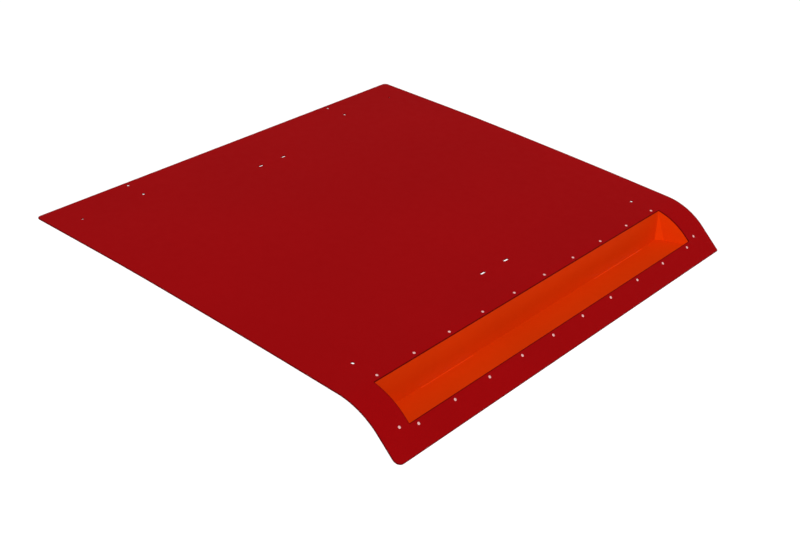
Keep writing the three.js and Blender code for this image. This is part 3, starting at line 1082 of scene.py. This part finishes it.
class ROOF_OT_rivets(bpy.types.Operator):
    """Sets the aluminium blind rivets round the pocket"""

    bl_idname = "roof.set_rivets"
    bl_label = "Blind Rivets"

    def execute(self, context):
        scene = context.scene
        r = scene.roof_rivets
        rim = 0.3 * MM
        mouth = r.bore_radius + 0.25 * MM
        low, top = r.gap, r.gap + r.head_height
        blind = -stack_depth(scene) - r.gap
        dome = []
        steps = 7
        for i in range(steps + 1):
            a = math.pi / 2 * i / steps
            radius = r.head_radius + (mouth - r.head_radius) * math.sin(a) ** 1.6
            dome.append((radius, low + rim + (top - low - rim) * math.sin(a) ** 0.9))
        outline = [
            (r.bore_radius, blind - r.bulb_length + 0.2 * MM),
            (r.bore_radius + 0.2 * MM, blind - r.bulb_length),
            (r.bulb_radius * 0.82, blind - r.bulb_length),
            (r.bulb_radius * 0.97, blind - r.bulb_length * 0.8),
            (r.bulb_radius, blind - r.bulb_length * 0.5),
            (r.bulb_radius * 0.92, blind - r.bulb_length * 0.2),
            (r.shank_radius, blind),
            (r.shank_radius, low),
            (r.head_radius - 0.15 * MM, low),
            (r.head_radius, low + 0.15 * MM),
            *dome,
            (r.bore_radius + 0.1 * MM, top - 0.08 * MM),
            (r.bore_radius, top - 0.25 * MM),
        ]
        sample = turned_shape("rivet_sample", outline, RIVET_SEGMENTS)
        set_rows(scene, "blind_rivets", sample, "rivet_aluminium", named_nodes("rivet_"))
        return {"FINISHED"}


class ROOF_OT_pins(bpy.types.Operator):
    """Sets the broken steel pins that stay inside the rivets"""

    bl_idname = "roof.set_pins"
    bl_label = "Rivet Pins"

    def execute(self, context):
        scene = context.scene
        r = scene.roof_rivets
        radius, head, head_length = r.pin_radius, r.pin_head_radius, r.pin_head_length
        top = r.gap + r.head_height - r.pin_sink
        bottom = -stack_depth(scene) - r.gap - r.bulb_length - (r.bore_radius - radius)
        outline = [
            (0.0, bottom - head_length),
            (head * 0.55, bottom - head_length * 0.93),
            (head * 0.9, bottom - head_length * 0.7),
            (head, bottom - head_length * 0.45),
            (head, bottom - 0.15 * MM),
            (head - 0.15 * MM, bottom),
            (radius, bottom),
            (radius, top - 0.2 * MM),
            (radius * 0.8, top - 0.05 * MM),
            (radius * 0.45, top - 0.12 * MM),
            (0.0, top),
        ]
        sample = turned_shape("pin_sample", outline, PIN_SEGMENTS)
        set_rows(scene, "rivet_pins", sample, "pin_steel", named_nodes("pin_"))
        return {"FINISHED"}


class ROOF_OT_stage(bpy.types.Operator):
    """Lays the plain floor at ground height and sets the soft lights and the camera"""

    bl_idname = "roof.set_stage"
    bl_label = "Stage, Lights and Camera"

    def execute(self, context):
        scene = context.scene
        self.lay_floor(scene)
        self.set_lights(scene)
        self.set_camera(scene)
        return {"FINISHED"}

    def lay_floor(self, scene):
        """The panel is held up at roof height, so the floor lies well below it."""
        work = bmesh.new()
        corners = ((-1, -1), (1, -1), (1, 1), (-1, 1))
        work.faces.new(
            [work.verts.new((x * FLOOR_HALF, y * FLOOR_HALF, -FLOOR_DROP)) for x, y in corners]
        )
        mesh = bpy.data.meshes.new("studio_floor")
        work.to_mesh(mesh)
        work.free()
        floor = bpy.data.objects.new("studio_floor", mesh)
        scene.collection.objects.link(floor)
        mesh.materials.append(finish("studio_floor"))

    def set_lights(self, scene):
        """Dim air round the panel, a white backdrop behind it, and four broad suns."""
        world = bpy.data.worlds.new("studio_air")
        scene.world = world
        world.use_nodes = True
        nodes, link = world.node_tree.nodes, world.node_tree.links.new
        air, backdrop = nodes["Background"], nodes.new("ShaderNodeBackground")
        air.inputs["Color"].default_value = backdrop.inputs["Color"].default_value = WHITE
        air.inputs["Strength"].default_value = AIR_STRENGTH
        seen, either = nodes.new("ShaderNodeLightPath"), nodes.new("ShaderNodeMixShader")
        link(seen.outputs["Is Camera Ray"], either.inputs[0])
        link(air.outputs[0], either.inputs[1])
        link(backdrop.outputs[0], either.inputs[2])
        link(either.outputs[0], nodes["World Output"].inputs["Surface"])
        for name, source, strength, spread, shadows in LIGHTS:
            data = bpy.data.lights.new(name, "SUN")
            data.energy = strength * math.pi
            data.angle = math.radians(spread)
            data.use_shadow = shadows
            lamp = bpy.data.objects.new(name, data)
            lamp.visible_glossy = shadows  # a low fill would glare off the flat sheet
            lamp.rotation_mode = "QUATERNION"
            lamp.rotation_quaternion = Vector(source).to_track_quat("Z", "Y")
            lamp.location = Vector(source) * LAMP_DISTANCE
            scene.collection.objects.link(lamp)

    def set_camera(self, scene):
        """Stands at the front left corner, above the panel, and leans a little."""
        data = bpy.data.cameras.new("camera")
        data.sensor_width, data.lens = CAMERA_SENSOR, CAMERA_LENS
        data.clip_start, data.clip_end = CAMERA_NEAR, CAMERA_FAR
        azimuth, elevation = math.radians(CAMERA_AZIMUTH), math.radians(CAMERA_ELEVATION)
        roll = math.radians(CAMERA_ROLL)
        back = Vector(
            (
                math.sin(azimuth) * math.cos(elevation),
                -math.cos(azimuth) * math.cos(elevation),
                math.sin(elevation),
            )
        )
        right = Vector((math.cos(azimuth), math.sin(azimuth), 0.0))
        up = back.cross(right)
        leaned_right = right * math.cos(roll) + up * math.sin(roll)
        leaned_up = up * math.cos(roll) - right * math.sin(roll)
        camera = bpy.data.objects.new("camera", data)
        matrix = Matrix((leaned_right, leaned_up, back)).transposed().to_4x4()
        matrix.translation = Vector(CAMERA_PLACE)
        camera.matrix_world = matrix
        scene.collection.objects.link(camera)
        scene.camera = camera
        scene.view_settings.view_transform = "Standard"


class ROOF_PT_panel(bpy.types.Panel):
    """Lists the steps that build the roof panel"""

    bl_label = "Roof Panel"
    bl_idname = "ROOF_PT_panel"
    bl_space_type = "VIEW_3D"
    bl_region_type = "UI"
    bl_category = "Roof Panel"

    def draw(self, context):
        scene = context.scene
        for group in SETTINGS:
            box = self.layout.box()
            settings = getattr(scene, group)
            for prop in settings.bl_rna.properties:
                if prop.identifier not in ("rna_type", "name"):
                    box.prop(settings, prop.identifier)
        for operator in STEPS:
            self.layout.operator(operator.bl_idname)


SETTINGS = {
    "roof_sheet": RoofSheetSizes,
    "roof_pocket": PocketSizes,
    "roof_mounting": MountingHoleSizes,
    "roof_rivets": RivetSizes,
    "roof_colours": FinishColours,
}
STEPS = (
    ROOF_OT_stage,
    ROOF_OT_sheet,
    ROOF_OT_tray,
    ROOF_OT_end_plates,
    ROOF_OT_rivets,
    ROOF_OT_pins,
)


def register():
    for cls in (*SETTINGS.values(), *STEPS, ROOF_PT_panel):
        bpy.utils.register_class(cls)
    for name, cls in SETTINGS.items():
        setattr(bpy.types.Scene, name, PointerProperty(type=cls))


def unregister():
    for name in SETTINGS:
        delattr(bpy.types.Scene, name)
    for cls in (ROOF_PT_panel, *reversed(STEPS), *reversed(list(SETTINGS.values()))):
        bpy.utils.unregister_class(cls)


def main():
    register()
    bpy.ops.roof.set_stage()
    bpy.ops.roof.build_sheet()
    bpy.ops.roof.build_tray()
    bpy.ops.roof.finish_end_plates()
    bpy.ops.roof.set_rivets()
    bpy.ops.roof.set_pins()


if __name__ == "__main__":
    main()
